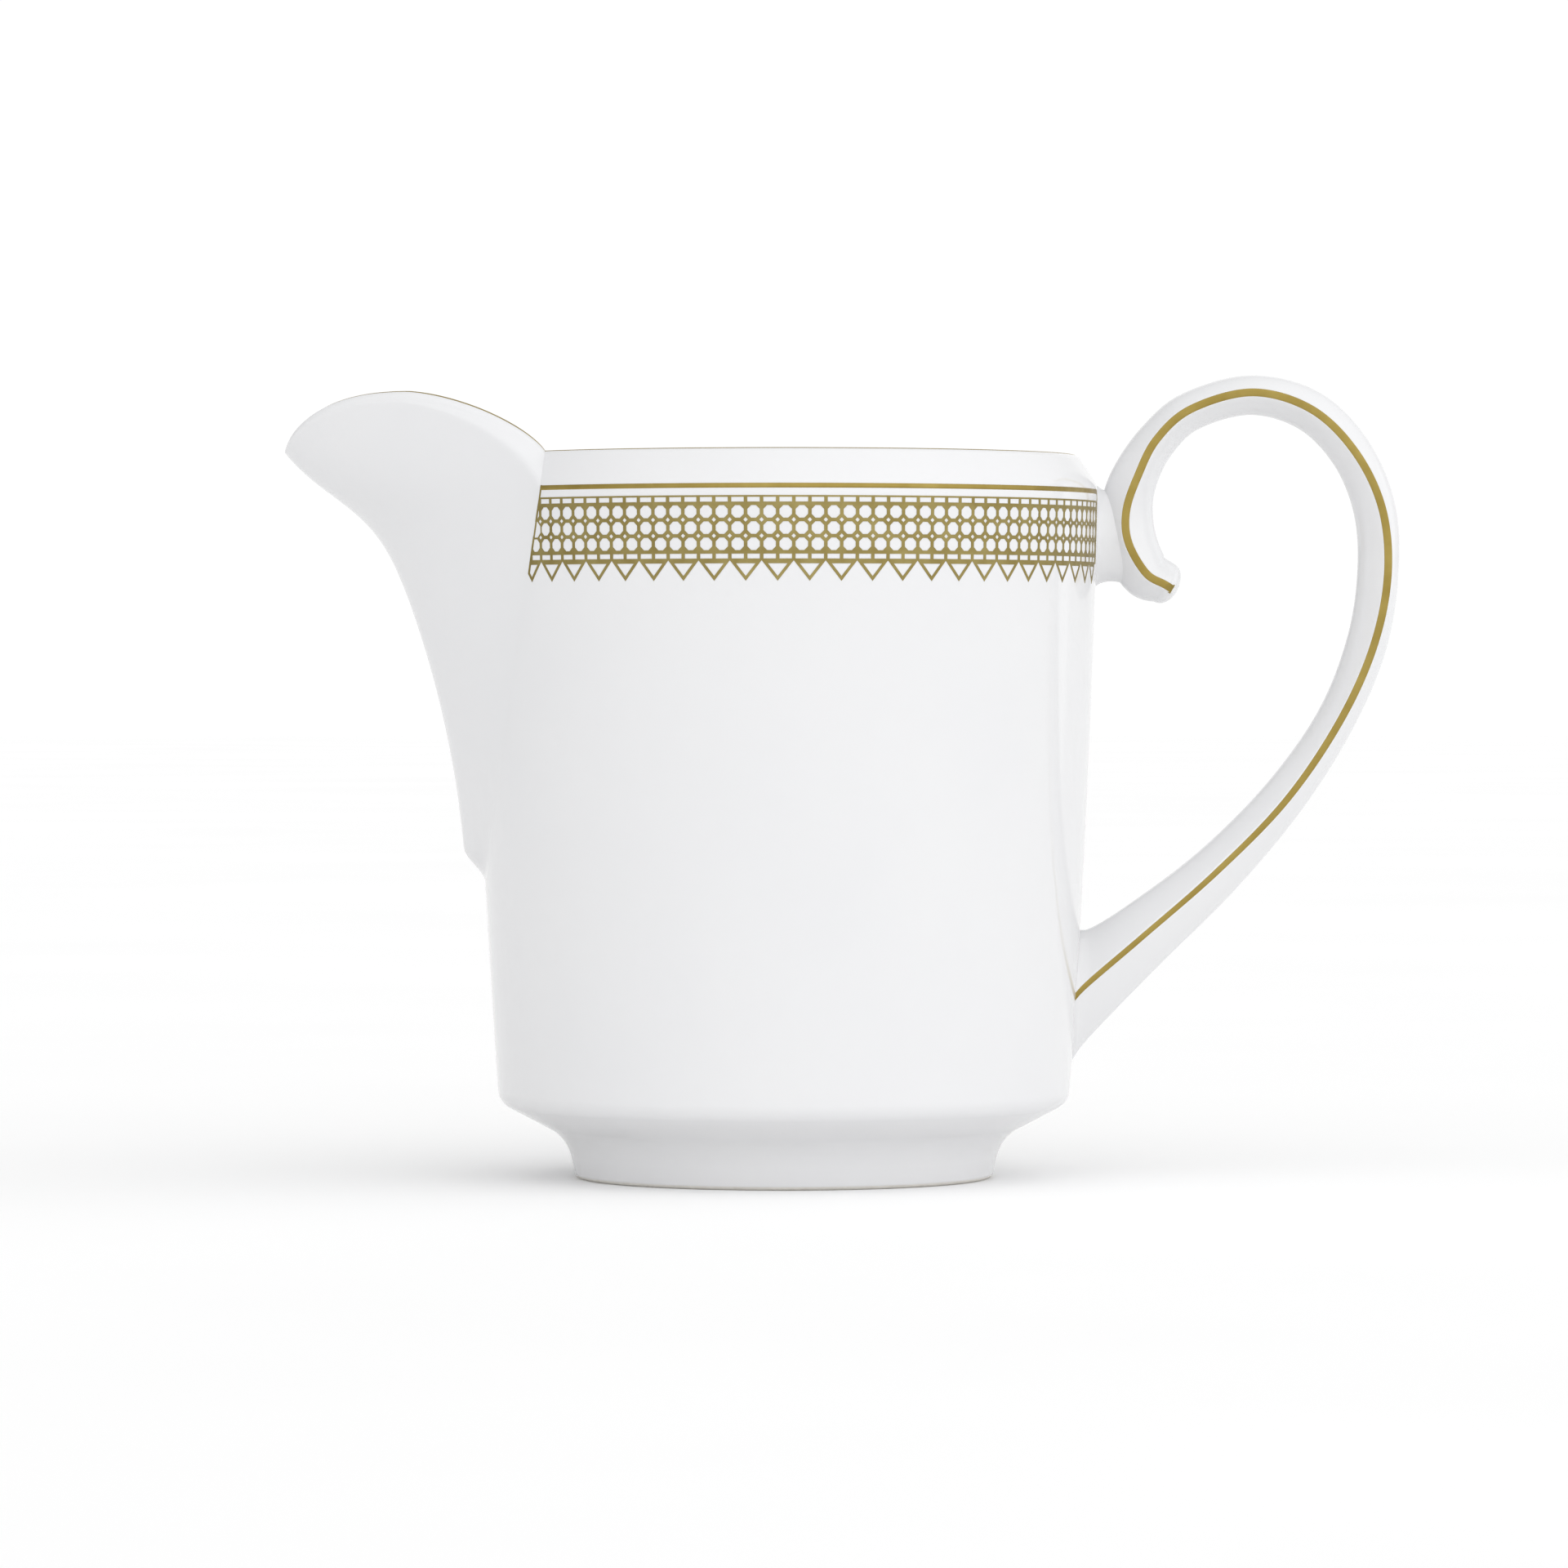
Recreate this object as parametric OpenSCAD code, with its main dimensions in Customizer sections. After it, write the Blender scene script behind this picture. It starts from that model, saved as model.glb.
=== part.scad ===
// Porcelain cream jug: a cast body with a shouldered rim, a foot ring, a beak spout luted on along
// a leaning plane, a scroll handle, and fired gilding. Millimetres, +Z up, the spout towards -X and
// the handle towards +X. The origin is the centre of the foot ring on the table.

/* [Body] */
// Height of the rim above the table
rim_h = 84.2; // [72:0.1:104]
// Outer radius at the shoulder crease, the widest place
belly_r = 36.7; // [30:0.1:45]
// Outer radius at the heel, where the wall turns under
heel_r = 33.3; // [30:0.1:38]
// Height of the heel corner
heel_z = 8.9; // [8:0.1:12]
// Bow of the wall between heel and crease
wall_bow = 0.4; // [0:0.05:1]
// Height of the shoulder, from its crease to the rim
shoulder_h = 3.6; // [3.3:0.1:6]
// How far the shoulder leans in on its way up to the rim
shoulder_lean = 2.4; // [1:0.1:3]
// Thickness of the cast wall, and of the rim
wall = 2.1; // [1.8:0.1:3]
// Thickness of the floor
floor_t = 3; // [2:0.1:5]
// Radius of the rounding inside, between wall and floor
floor_fillet = 6; // [3:0.5:9]

/* [Foot] */
// How far in from the heel corner the foot ring is luted on
seat_inset = 5.7; // [4.5:0.1:7]
// How far the outside of the foot ring draws in, from the seat down to the table
foot_taper = 3.3; // [2:0.1:5]
// Height of the foot ring, up to where it is luted to the body
foot_h = 5.9; // [5:0.1:7.5]
// Width of the foot ring at the table
foot_w = 2.9; // [2.2:0.1:4]

/* [Spout] */
// Half of the angle that the spout covers at the crease, seen from above
spout_half_angle = 39.4; // [32:0.1:45]
// Height where the spout's tongue leaves the wall
tongue_z = 34.5; // [26:0.1:44]
// How far the tongue stands out of the wall
tongue_out = 2.2; // [1.5:0.05:3.5]
// Height over which the tongue swells out
tongue_rise = 4; // [3:0.1:6]
// Steady flare of the nose, from the tongue to the tip
nose_flare = 12; // [8:0.1:16]
// Extra sweep of the nose just under the tip
nose_beak = 7.9; // [4:0.1:9]
// Rise of the lip's crest above the rim
lip_rise = 7; // [3:0.1:9]
// Rise of the lip above the rim at the very tip
tip_rise = 1.3; // [0.2:0.1:3]

/* [Handle] */
// Reach of the handle out from the shoulder crease
handle_reach = 35.6; // [30:0.1:42]
// Rise of the handle above the shoulder crease
handle_rise = 13; // [10:0.1:16]
// Height of the bottom of the handle's lower end
handle_low_z = 15.3; // [14:0.1:24]
// Half of the strap's width, across its two ridges
strap_half_w = 3.6; // [3:0.1:4.5]
// Half of the bridge's height, between the scroll and the wall
bridge_half_h = 5.2; // [4:0.1:6]

/* [Gilding] */
// Thickness of the fired gold, kept thick enough to handle as a solid
gold_t = 0.1; // [0.05:0.01:0.3]
// Width of the gold along the rim, the lip and the handle's ridges
edge_gold_w = 0.8; // [0.6:0.1:1.2]
// Distance from the crease down to the plain gold line
line_drop = 0.4; // [0.3:0.05:2]
// Height of the plain gold line
line_h = 0.6; // [0.3:0.05:1.5]
// Distance between the plain gold line and the lace band
lace_gap = 0.8; // [0.3:0.05:1.5]
// Height of the lace band
lace_h = 9.6; // [6:0.1:14]
// Distance of the bands' ends from the handle's middle plane
band_end_y = 5.8; // [5.2:0.1:9]

/* [Hidden] */
$fn = 96;

crease_z = rim_h - shoulder_h;
floor_z = foot_h + floor_t;
crease_round = 0.9;
heel_round = 2.4;
cove_round = 5;
foot_round = 0.8;
seat_r = heel_r - seat_inset;
foot_r = seat_r - foot_taper;
cove_r = foot_r + 1.1;
foot_slope = (heel_z - foot_h) / (heel_r - seat_r);
rho = wall / 2;
arc_n = 6;
wall_n = 8;
far = 200;

// ---------- shared formulas ----------

function clamp01(t) = max(0, min(1, t));
function smooth(t) = let (c = clamp01(t)) c * c * (3 - 2 * c);
function mix(a, b, t) = a + (b - a) * t;
function reversed(list) = [for (i = [len(list) - 1:-1:0]) list[i]];
function flat(points) = [for (p = points) [p[0], p[1], 0]];

// Points of a rounded corner at p, between its neighbours a and b
function corner(a, p, b, r) =
    r <= 0 ? [p] :
    let (u = (a - p) / norm(a - p),
         v = (b - p) / norm(b - p),
         half = acos(u * v) / 2,
         c = p + (u + v) / norm(u + v) * r / sin(half),
         from = p + u * r / tan(half) - c,
         to = p + v * r / tan(half) - c,
         a0 = atan2(from[1], from[0]),
         turn = atan2(to[1], to[0]) - a0,
         sweep = turn > 180 ? turn - 360 : turn < -180 ? turn + 360 : turn)
    [for (i = [0:arc_n]) c + r * [cos(a0 + sweep * i / arc_n), sin(a0 + sweep * i / arc_n)]];

// A path of [r, z, rounding] corners as plain points
function rounded(path) =
    [for (i = [0:len(path) - 1])
        let (p = path[i], a = path[max(i - 1, 0)], b = path[min(i + 1, len(path) - 1)])
        each corner([a[0], a[1]], [p[0], p[1]], [b[0], b[1]],
                    i == 0 || i == len(path) - 1 ? 0 : p[2])];

// Two triangles across the corners a, b, c, d
function quad(a, b, c, d) = [[a, b, c], [a, c, d]];

// A closed skin over rings of points; each end is capped by a ladder across the ring
module skin(rings) {
    n = len(rings[0]);
    last = len(rings) - 1;
    polyhedron(
        points = [for (ring = rings) each ring],
        faces = concat(
            [for (i = [0:last - 1], j = [0:n - 1])
                each quad(i * n + j, (i + 1) * n + j, (i + 1) * n + (j + 1) % n,
                          i * n + (j + 1) % n)],
            [for (j = [0:n / 2 - 2]) each quad(j, j + 1, n - 2 - j, n - 1 - j)],
            [for (j = [0:n / 2 - 2], o = [last * n])
                each quad(o + n - 1 - j, o + n - 2 - j, o + j + 1, o + j)]));
}

// ---------- body and foot ring ----------

// Outer radius of the wall at height z: a straight taper from heel to crease, with a slight bow
function wall_r(z) =
    let (s = clamp01((z - heel_z) / (crease_z - heel_z)))
    mix(heel_r, belly_r, s) + 4 * wall_bow * s * (1 - s);

// The same radius on the straight steps that the wall is turned in
wall_steps = [for (i = [0:wall_n]) let (z = mix(heel_z, crease_z, i / wall_n)) [z, wall_r(z)]];
function step_r(z) = lookup(z, wall_steps);
function wall_path(inset, z0, z1) =
    [for (s = wall_steps) if (s[0] > z0 + 0.5 && s[0] < z1 - 0.5) [s[1] - inset, s[0], 0]];

// The shoulder is a leaning plate as thick as the wall, and its top edge is fully round
lean_a = atan2(shoulder_lean, shoulder_h);
lean_up = [-sin(lean_a), cos(lean_a)];
lean_in = [-cos(lean_a), -sin(lean_a)];
rim_run = (shoulder_h - rho - rho * lean_in[1]) / lean_up[1];
rim_c = [belly_r, crease_z] + rim_run * lean_up + rho * lean_in;

// Thirteen stations over a round edge that leans by the angle turn; the middle five carry gold
gold_a = edge_gold_w / rho * 90 / PI;
function edge_a(j, turn) =
    j <= 4 ? mix(turn, 90 - gold_a, j / 4) :
    j >= 8 ? mix(90 + gold_a, 180 + turn, (j - 8) / 4) :
    90 + gold_a * (j - 6) / 2;
function rim_arc(r, first, last) =
    [for (j = [first:last]) rim_c + r * [cos(edge_a(j, lean_a)), sin(edge_a(j, lean_a))]];

// Inner crease, where the inside of the shoulder meets the inside of the wall
in_top = rim_c + rho * lean_in;
in_crease_r = belly_r - wall;
in_crease_z = in_top[1] + (in_crease_r - in_top[0]) / lean_up[0] * lean_up[1];

outer_path = concat([[0, foot_h, 0], [seat_r, foot_h, 0], [heel_r, heel_z, heel_round]],
                    wall_path(0, heel_z + 1, crease_z - 1),
                    [[belly_r, crease_z, crease_round]]);
inner_path = concat([[in_crease_r, in_crease_z, crease_round + wall]],
                    reversed(wall_path(wall, floor_z + floor_fillet, in_crease_z - 1)),
                    [[wall_r(floor_z) - wall, floor_z, floor_fillet], [0, floor_z, 0]]);
rim_path = flat(rim_arc(rho, 0, 12));

// Inner radius of the body at height z
in_steps = concat([for (s = wall_steps) if (s[0] < in_crease_z - 1) [s[0], s[1] - wall]],
                  [[in_crease_z, in_crease_r], [in_top[1], in_top[0]]]);
function in_r(z) = lookup(z, in_steps);

module turned(path) rotate_extrude() polygon(rounded(path));

// Everything inside the body's outer surface, to trim what is luted on
module body_envelope() turned(concat(outer_path, rim_path, [[0, in_top[1], 0]]));

// The spout is luted on along a plane that leans out from the crease down to the tongue
seam_top_x = belly_r * cos(spout_half_angle);
seam_lean = (step_r(tongue_z) - seam_top_x) / (crease_z - tongue_z);
function seam_x(z) = -(seam_top_x + seam_lean * (crease_z - z));

module spout_side()
    rotate([90, 0, 0]) translate([0, 0, -far / 2]) linear_extrude(far)
        polygon([[-far, -far], [seam_x(-far), -far], [seam_x(far), far], [-far, far]]);

module body()
    color("white")
    difference() {
        turned(concat(outer_path, rim_path, inner_path));
        spout_side();
    }

module foot_ring()
    color("white")
    turned([[foot_r - foot_w, foot_h, 0], [seat_r, foot_h, 0],
            [cove_r, foot_h - (seat_r - cove_r) * foot_slope, cove_round],
            [foot_r, 0, foot_round], [foot_r - foot_w, 0, foot_round],
            [foot_r - foot_w, foot_h, 0]]);

// ---------- spout ----------

half_cols = 18;
out_n = 18;
in_n = 18;

// Reach of the nose at height z: the wall, the tongue's swell, a square-law flare, and a beak
// that follows an S curve just under the tip
function nose_x(z) =
    let (s = (z - tongue_z) / (rim_h - tongue_z))
    wall_r(z) + tongue_out * smooth((z - tongue_z) / tongue_rise)
    + nose_flare * s * s + nose_beak / (1 + exp((0.905 - s) / 0.045));

// How far along the side view a place on the lip lies, for v from 0 at the seam to 1 at the nose
function along(v) = 3 * (1 - v) * (1 - v) * v * 0.24 + 3 * (1 - v) * v * v + v * v * v;

// Height of the lip: it climbs at once from the rim, rounds over a crest, and drops to the tip
lip_mid = 0.53;
function lip_z(v) =
    let (s = along(v))
    s < lip_mid ? rim_h + lip_rise * (1 - pow(1 - s / lip_mid, 1.55)) :
    mix(rim_h + lip_rise, rim_h + tip_rise, pow((s - lip_mid) / (1 - lip_mid), 2.4));

// The shoulder fades out along the lip
function bevel(v) = let (s = along(v)) exp(-3.5 * s) * sqrt(1 - s);

// A place on the level curve at height z, from the seam on a circle of radius r to a nose at
// reach n: a cubic curve that leaves the circle along its tangent and crosses the nose squarely
function level(v, z, r, n) =
    let (x0 = seam_x(z),
         w = sqrt(max(0, r * r - x0 * x0)),
         p0 = [x0, w],
         p1 = p0 + 0.36 * w * [-w, x0] / r,
         p2 = [-n, 0.3 * w],
         p3 = [-n, 0],
         u = 1 - v,
         p = u * u * u * p0 + 3 * u * u * v * p1 + 3 * u * v * v * p2 + v * v * v * p3)
    [p[0], p[1], z];

// Height where the inside of the spout opens, above the solid tongue
function open_z(lo, hi) =
    hi - lo < 0.001 ? hi :
    let (m = (lo + hi) / 2) in_r(m) > -seam_x(m) ? open_z(lo, m) : open_z(m, hi);
mouth_z = open_z(tongue_z, in_crease_z);
mouth_run = 11;

// Stations up the outside, over the lip and down the inside, at the place v along the lip
function out_station(v, i) =
    let (z = mix(tongue_z, lip_z(v) - rho - (shoulder_h - rho) * max(0.05, bevel(v)), i / out_n))
    level(v, z, step_r(z), nose_x(z));
function lip_station(v, r, j) =
    let (top = lip_z(v) - rho,
         a = edge_a(j, lean_a * bevel(v)))
    level(v, top + r * sin(a), mix(belly_r - rho, rim_c[0], bevel(v)) + r * cos(a),
          nose_x(top) - rho + r * cos(a));
function in_station(v, i) =
    let (s = 1 - i / in_n,
         z = mix(lip_z(v) - rho - rho * sin(lean_a * bevel(v)), mouth_z, s),
         slope = 2 * (nose_x(z + 0.25) - nose_x(z - 0.25)),
         level_wall = mix(wall, wall * norm([1, slope]), smooth(4 * s)),
         r = z < in_crease_z ? in_r(z) : mix(in_crease_r, in_r(z), bevel(v)),
         open = smooth((z - mouth_z) / mouth_run))
    level(v, z, r, mix(-seam_x(z), nose_x(z) - level_wall, open));

function mirrored(p, side) = [p[0], side * p[1], p[2]];
function column(c) =
    let (v = 1 - abs(c / half_cols - 1),
         side = c < half_cols ? -1 : 1,
         points = concat([for (i = [1:out_n]) out_station(v, i)],
                         [for (j = [0:12]) lip_station(v, rho, j)],
                         [for (i = [in_n - 1:-1:1]) in_station(v, i)]))
    [for (p = points) mirrored(p, side)];

module spout()
    color("white") {
        m = out_n + 13 + in_n - 1;
        cols = 2 * half_cols;
        first_in = out_n + 13;
        mouth_i = ceil(out_n * (mouth_z - tongue_z) / (crease_z - tongue_z));
        polyhedron(
            points = concat([[seam_x(tongue_z), 0, tongue_z], [seam_x(mouth_z), 0, mouth_z]],
                            [for (c = [0:cols]) each column(c)]),
            faces = concat(
                [for (c = [0:cols - 1]) [0, 2 + (c + 1) * m, 2 + c * m]],
                [for (c = [0:cols - 1]) [1, 1 + (c + 1) * m, 1 + (c + 2) * m]],
                [for (c = [0:cols - 1], j = [0:m - 2], o = [2 + c * m + j])
                    each quad(o, o + m, o + m + 1, o + 1)],
                seam_faces(2, 0, 1, m, mouth_i, first_in, false),
                seam_faces(2 + cols * m, 0, 1, m, mouth_i, first_in, true),
                [[0, 2, 2 + cols * m]],
                [for (i = [0:mouth_i - 2]) each quad(2 + i, 3 + i, 3 + cols * m + i, 2 + cols * m + i)],
                [[1 + mouth_i, 1, 1 + cols * m + mouth_i]]));
    }

// One half of the flat seam face: a ladder between the outside and the inside of the wall, and
// one over the round edge
function seam_faces(o, tongue, mouth, m, mouth_i, first_in, back) =
    let (outs = [for (i = [mouth_i - 1:out_n - 1]) o + i],
         ins = concat([mouth], [for (i = [m - 1:-1:first_in]) o + i]),
         steps = len(ins) - 1,
         at = [for (i = [0:steps]) round(i * (len(outs) - 1) / steps)],
         faces = concat(
             [for (i = [0:steps - 1]) [ins[i], ins[i + 1], outs[at[i]]]],
             [for (i = [0:steps - 1]) if (at[i + 1] > at[i])
                 [ins[i + 1], outs[at[i + 1]], outs[at[i]]]],
             quad(ins[steps], o + first_in - 1, o + out_n, outs[len(outs) - 1]),
             [for (j = [0:4], a = [o + out_n + j], b = [o + first_in - 1 - j])
                 each quad(b, b - 1, a + 1, a)],
             [[o + first_in - 6, o + out_n + 6, o + out_n + 5]]))
    back ? faces : [for (f = faces) reversed(f)];

// ---------- handle ----------

// The ridge line as [reach, rise, depth outside, depth inside]: reach counts in handle reaches from
// the wall at the same height, and rise from the lower end to the top
ridge = [[0.2250, 0.6869, 1.9, 1.7], [0.1580, 0.7050, 2.8, 3], [0.0972, 0.7511, 2.75, 3.65],
         [0.0881, 0.7975, 2.75, 3.45], [0.1238, 0.8490, 2.8, 2.66], [0.1858, 0.9038, 2.14, 2.66],
         [0.3000, 0.9490, 2.06, 2.52], [0.5001, 0.9734, 2.12, 2.52], [0.6925, 0.9483, 2.47, 2.45],
         [0.8364, 0.8849, 2.38, 2.56], [0.9275, 0.7995, 1.98, 3], [0.9513, 0.6994, 1.65, 3.21],
         [0.9104, 0.5917, 1.9, 2.9], [0.8079, 0.4804, 2.1, 2.5], [0.6456, 0.3654, 2.46, 2.74],
         [0.4291, 0.2596, 3.34, 2.9], [0.1980, 0.1637, 4.08, 3.78], [0.0067, 0.0855, 4.9, 5.25],
         [-0.1621, 0.0100, 5.4, 6.4]];
ridge_steps = 5;
top_z = crease_z + handle_rise;
ridge_pts = [for (p = ridge) let (z = mix(handle_low_z, top_z, p[1]))
    [wall_r(z) + handle_reach * p[0], z, p[2], p[3]]];

// A smooth curve through the list, as a Catmull-Rom spline
function spline(list, t) =
    let (n = len(list) - 1,
         i = min(n - 1, floor(t)),
         u = t - i,
         p1 = list[i],
         p2 = list[i + 1],
         p0 = i == 0 ? 2 * p1 - p2 : list[i - 1],
         p3 = i + 2 > n ? 2 * p2 - p1 : list[i + 2])
    0.5 * (2 * p1 + (p2 - p0) * u + (2 * p0 - 5 * p1 + 4 * p2 - p3) * u * u
           + (3 * p1 - p0 - 3 * p2 + p3) * u * u * u);

ridge_end = len(ridge) - 1;
blunt = edge_gold_w / 2;
function ridge_at(t) = spline(ridge_pts, t);
function ridge_out(t) =
    let (a = ridge_at(max(0, t - 0.05)), b = ridge_at(min(ridge_end, t + 0.05)),
         d = [b[0] - a[0], b[1] - a[1]])
    [-d[1], d[0]] / norm(d);
function strap_w(t) = strap_half_w * (1 + 0.22 * smooth((t - 13) / 4));

// A place on the strap: q outwards from the ridge, y across
function on_strap(t, q, y) =
    let (p = ridge_at(t), n = ridge_out(t)) [p[0] + q * n[0], y, p[1] + q * n[1]];

function bowed(depth, f) = blunt + (depth - blunt) * (1 - pow(abs(f), 1.8));

// One cross-section: two bowed faces that meet in blunt ridges; k scales it at the scroll's tip
function strap_ring(t, k) =
    let (p = ridge_at(t), w = strap_w(t))
    concat([for (i = [5:-1:-5]) on_strap(t, k * bowed(p[2], i / 5), k * w * i / 5)],
           [for (i = [-5:5]) on_strap(t, -k * bowed(p[3], i / 5), k * w * i / 5)]);

tip_n = 5;
strap_ts = [for (i = [0:ridge_end * ridge_steps]) i / ridge_steps];
tip_round = 1.7;
function tip_ring(i) =
    let (a = 90 * i / tip_n, n = ridge_out(0), d = [n[1], -n[0]])
    [for (p = strap_ring(0, cos(a))) p + tip_round * sin(a) * [-d[0], 0, -d[1]]];

module strap()
    skin(concat([for (i = [tip_n - 0.4:-1:0.6]) tip_ring(i)], [for (t = strap_ts) strap_ring(t, 1)]));

// The bridge: a short oval neck, from inside the wall to the back of the scroll
bridge_z = mix(handle_low_z, top_z, 0.76);
module bridge()
    skin([for (i = [0:8])
        let (x = mix(belly_r - wall, belly_r + handle_reach * 0.105, i / 8),
             e = abs(i - 4.6) / 4.6,
             k = 1 + 0.14 * e * e * e)
        [for (j = [0:23]) let (a = 15 * j + 7.5)
            [x, 0.86 * strap_half_w * k * cos(a), bridge_z + bridge_half_h * k * sin(a)]]]);

module handle()
    color("white")
    difference() {
        union() {
            strap();
            bridge();
        }
        body_envelope();
    }

// ---------- gilding ----------

module rim_gilding()
    color("goldenrod")
    difference() {
        rotate_extrude()
            polygon(concat(rim_arc(rho + gold_t, 4, 8), reversed(rim_arc(rho, 4, 8))));
        spout_side();
    }

module spout_lip_gilding()
    color("goldenrod")
    skin([for (c = [0:2 * half_cols])
        let (v = 1 - abs(c / half_cols - 1), side = c < half_cols ? -1 : 1)
        concat([for (j = [4:8]) mirrored(lip_station(v, rho + gold_t, j), side)],
               [for (j = [8:-1:4]) mirrored(lip_station(v, rho, j), side)])]);

// A sleeve of gold on the wall, from z0 up to z1, on one side of the jug
module sleeve(z0, z1, side)
    color("goldenrod")
    difference() {
        rotate_extrude()
            let (zs = concat([z0], [for (s = wall_steps) if (s[0] > z0 && s[0] < z1) s[0]], [z1]))
            polygon(concat([for (z = zs) [step_r(z) + gold_t, z]],
                           [for (z = reversed(zs)) [step_r(z), z]]));
        spout_side();
        translate([-far, side < 0 ? -band_end_y : band_end_y - far, 0]) cube([2 * far, far, far]);
    }

line_top = crease_z - line_drop;
lace_top = line_top - line_h - lace_gap;

module band_line_front() sleeve(line_top - line_h, line_top, -1);
module band_line_back() sleeve(line_top - line_h, line_top, 1);
module lace_band_front() sleeve(lace_top - lace_h, lace_top, -1);
module lace_band_back() sleeve(lace_top - lace_h, lace_top, 1);

// A ribbon on one blunt ridge, from the scroll's tip to the wall
module ridge_ribbon(side)
    color("goldenrod")
    difference() {
        skin([for (t = strap_ts) let (w = strap_w(t) * side, g = gold_t * side)
            side < 0 ?
            [on_strap(t, -blunt, w), on_strap(t, blunt, w), on_strap(t, blunt, w + g),
             on_strap(t, -blunt, w + g)] :
            [on_strap(t, blunt, w), on_strap(t, -blunt, w), on_strap(t, -blunt, w + g),
             on_strap(t, blunt, w + g)]]);
        body_envelope();
    }

module handle_gilding_front() ridge_ribbon(-1);
module handle_gilding_back() ridge_ribbon(1);

body();
foot_ring();
spout();
handle();
rim_gilding();
spout_lip_gilding();
band_line_front();
band_line_back();
lace_band_front();
lace_band_back();
handle_gilding_front();
handle_gilding_back();
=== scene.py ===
import math
import bmesh
import bpy
import numpy as np
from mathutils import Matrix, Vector


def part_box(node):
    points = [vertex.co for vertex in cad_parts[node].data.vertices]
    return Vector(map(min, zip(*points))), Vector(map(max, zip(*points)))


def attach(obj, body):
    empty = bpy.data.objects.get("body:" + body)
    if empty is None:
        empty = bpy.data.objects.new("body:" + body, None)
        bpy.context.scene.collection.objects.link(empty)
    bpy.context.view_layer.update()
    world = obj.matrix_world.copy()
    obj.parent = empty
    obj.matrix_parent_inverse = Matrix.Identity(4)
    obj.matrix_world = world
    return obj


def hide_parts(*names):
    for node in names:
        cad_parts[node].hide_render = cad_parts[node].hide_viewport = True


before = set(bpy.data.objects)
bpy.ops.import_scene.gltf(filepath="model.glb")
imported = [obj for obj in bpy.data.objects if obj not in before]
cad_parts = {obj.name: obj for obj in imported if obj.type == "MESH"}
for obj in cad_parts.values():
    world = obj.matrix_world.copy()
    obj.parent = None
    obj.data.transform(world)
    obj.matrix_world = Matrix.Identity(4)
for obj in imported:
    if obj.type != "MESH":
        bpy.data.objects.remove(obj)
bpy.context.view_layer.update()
print("frame loaded:", len(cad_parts), "nodes")

mm = 0.001
bodyHigh = np.array(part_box("body")[1]) / mm
footHigh = np.array(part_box("foot_ring")[1]) / mm

# The jug's shared shape in millimetres, z up from the table and x towards the handle
jug = {
    "rimHeight": bodyHigh[2],              # top of the round rim
    "bellyRadius": bodyHigh[0],            # at the shoulder crease
    "heelRadius": 33.3,                    # where the wall turns under
    "heelHeight": 8.9,
    "wallBow": 0.4,                        # how far the wall swells between heel and crease
    "shoulderHeight": 3.6,
    "shoulderLean": 2.4,
    "wall": 2.1,
    "floorHeight": footHigh[2] + 3.0,      # inside, above the table
    "floorFillet": 6.0,
    "heelRound": 2.4,
    "creaseSoft": 0.5,                     # softness of the shoulder crease
    "inCreaseSoft": 0.5,                   # and of the inner one
    "seatRadius": footHigh[0],             # foot ring where it is luted on
    "seatHeight": footHigh[2],
}
spout = {
    "halfAngle": 39.4,                     # seen from above, at the crease
    "tongueHeight": 34.5,
    "tongueOut": 2.2,
    "tongueRise": 4.0,
    "flare": 12.0,
    "beak": 7.9,
    "lipRise": 7.0,
    "tipRise": 1.3,
    "beakAt": 0.905, "beakSpread": 0.045,  # shares of the spout's height
    "lipMiddle": 0.53,                     # where along the lip its crest stands
    "crestPower": 1.55, "tipPower": 2.4,
    "mouthRun": 11.0,                      # height over which the inside opens out
}
creaseHeight = jug["rimHeight"] - jug["shoulderHeight"]
rho = jug["wall"] / 2                      # radius of the round rim
leanAngle = math.atan2(jug["shoulderLean"], jug["shoulderHeight"])
leanUp = np.array([-math.sin(leanAngle), math.cos(leanAngle)])
leanIn = np.array([-math.cos(leanAngle), -math.sin(leanAngle)])
rimRun = (jug["shoulderHeight"] - rho - rho * leanIn[1]) / leanUp[1]
rimCentre = np.array([jug["bellyRadius"], creaseHeight]) + rimRun * leanUp + rho * leanIn


# Smooth step: 3t^2 - 2t^3 between 0 and 1
def smooth(t):
    t = np.clip(t, 0, 1)
    return t * t * (3 - 2 * t)


# Straight mix of a and b
def mix(a, b, t):
    return a + (b - a) * t


# n + 1 numbers from 0 to 1, crowded at both ends: half of one minus the cosine
def crowded(n):
    return (1 - np.cos(np.pi * np.arange(n + 1) / n)) / 2


# A corner that turns softly: soft times the log of one plus e to the power t over soft
def softCorner(t, soft):
    return soft * np.logaddexp(0, t / soft)


# Radius of the wall: straight taper from heel to crease plus 4 bow s (1 - s)
def wallRadius(z):
    s = np.clip((z - jug["heelHeight"]) / (creaseHeight - jug["heelHeight"]), 0, 1)
    return mix(jug["heelRadius"], jug["bellyRadius"], s) + 4 * jug["wallBow"] * s * (1 - s)


seamTop = jug["bellyRadius"] * math.cos(math.radians(spout["halfAngle"]))
seamLean = (wallRadius(spout["tongueHeight"]) - seamTop) / (creaseHeight - spout["tongueHeight"])


# The leaning plane that the spout is luted on: x is minus (top + lean times the depth below the crease)
def seamX(z):
    return -(seamTop + seamLean * (creaseHeight - z))


# Nose of the spout: wall + tongue swell + flare s^2 + beak / (1 + e^((where - s) / spread))
def noseReach(z):
    s = (z - spout["tongueHeight"]) / (jug["rimHeight"] - spout["tongueHeight"])
    return (wallRadius(z) + spout["tongueOut"] * smooth((z - spout["tongueHeight"]) / spout["tongueRise"])
            + spout["flare"] * s * s + spout["beak"] / (1 + np.exp((spout["beakAt"] - s) / spout["beakSpread"])))


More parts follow.
